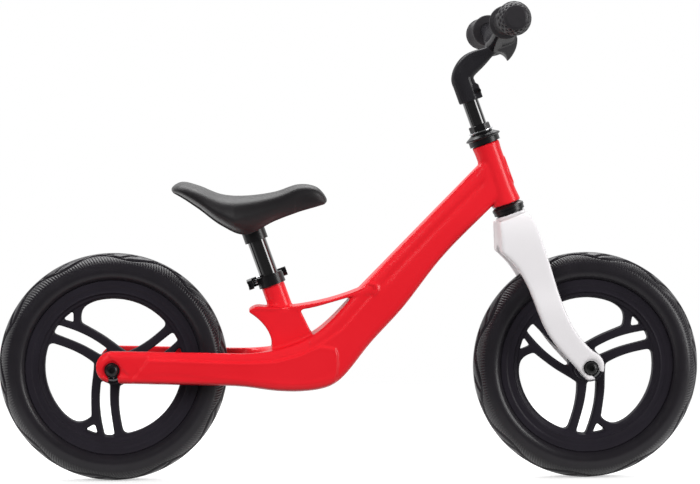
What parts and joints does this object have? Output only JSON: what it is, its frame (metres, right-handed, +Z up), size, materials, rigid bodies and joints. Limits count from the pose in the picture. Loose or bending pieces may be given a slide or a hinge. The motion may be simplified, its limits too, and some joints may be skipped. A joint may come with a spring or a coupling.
{
  "type": "balance bike",
  "caption": "Low child's balance bike with a cast beam frame, steering fork, moulded wheels, swept handlebar and a saddle on a quick-release post.",
  "frame": {"origin": "on the ground, in the middle plane, midway between the two axles", "axes": "+X forward, +Y to the rider's left, +Z up"},
  "size_m": [0.9398, 0.432, 0.6294],
  "materials": {
    "red_paint": "gloss enamel over a casting",
    "pale_paint": "satin enamel over a casting",
    "black_casting": "satin powder coat",
    "black_tube": "gloss enamel",
    "black_fitting": "satin black",
    "bright_steel": "zinc plate",
    "wheel_nylon": "fine matt texture",
    "tyre_foam": "matt foam rubber",
    "grip_rubber": "matt rubber",
    "saddle_skin": "matt foam skin",
    "black_nylon": "matt moulding"
  },
  "bodies": {
    "frame": {"frame": "red_paint", "headset_upper_cup": "black_fitting", "headset_lower_cup": "black_fitting", "headset_upper_balls": "bright_steel", "headset_lower_balls": "bright_steel", "seat_clamp_collar": "black_fitting", "seat_clamp_skewer": "bright_steel", "seat_clamp_nut": "black_fitting", "seat_clamp_cam_washer": "black_fitting", "seat_clamp_pivot": "bright_steel", "rear_axle": "bright_steel", "rear_axle_bolts": "black_fitting", "rear_axle_washers": "bright_steel", "rear_hub_spacer": "bright_steel", "rear_end_spacers": "bright_steel", "rear_bearing_inner_rings": "bright_steel"},
    "seat_lever": {"seat_clamp_lever": "black_fitting"},
    "rear_wheel": {"rear_rim": "wheel_nylon", "rear_tyre": "tyre_foam", "rear_bearing_outer_rings": "bright_steel", "rear_bearing_balls": "bright_steel"},
    "fork": {"fork": "pale_paint", "steerer_tube": "black_tube", "crown_race": "black_fitting", "headset_cone": "black_fitting", "headset_lock_washer": "bright_steel", "headset_lock_nut": "black_fitting", "front_axle": "bright_steel", "front_axle_bolts": "black_fitting", "front_axle_washers": "bright_steel", "front_hub_spacer": "bright_steel", "front_end_spacers": "bright_steel", "front_bearing_inner_rings": "bright_steel"},
    "front_wheel": {"front_rim": "wheel_nylon", "front_tyre": "tyre_foam", "front_bearing_outer_rings": "bright_steel", "front_bearing_balls": "bright_steel"},
    "handlebar": {"handlebar": "black_casting", "handlebar_clamp_bolt": "black_fitting", "handlebar_clamp_nut": "bright_steel", "left_grip": "grip_rubber", "right_grip": "grip_rubber"},
    "seat": {"seat_post": "black_tube", "seat_post_plug": "black_nylon", "saddle_cover": "saddle_skin", "saddle_base": "black_nylon", "saddle_clamp": "black_fitting", "saddle_clamp_bolt": "bright_steel", "saddle_clamp_nut": "bright_steel"}
  },
  "joints": [
    {"name": "steering", "type": "hinge", "parent": "frame", "child": "fork", "pos_m": [0.181, 0, 0.4511], "axis": [-0.3387, 0, 0.9409], "continuous": true},
    {"name": "front_wheel_spin", "type": "hinge", "parent": "fork", "child": "front_wheel", "pos_m": [0.3175, 0, 0.1524], "axis": [0, 1, 0], "continuous": true},
    {"name": "rear_wheel_spin", "type": "hinge", "parent": "frame", "child": "rear_wheel", "pos_m": [-0.3175, 0, 0.1524], "axis": [0, 1, 0], "continuous": true},
    {"name": "handlebar_height", "type": "slide", "parent": "fork", "child": "handlebar", "axis": [-0.3387, 0, 0.9409], "range_m": [-0.011, 0.01]},
    {"name": "seat_height", "type": "slide", "parent": "frame", "child": "seat", "axis": [-0.3387, 0, 0.9409], "range_m": [-0.04, 0.03]},
    {"name": "seat_lever_swing", "type": "hinge", "parent": "frame", "child": "seat_lever", "pos_m": [-0.13131, 0.0235, 0.26328], "axis": [0.3387, 0, -0.9409], "range_deg": [0, 150]}
  ]
}
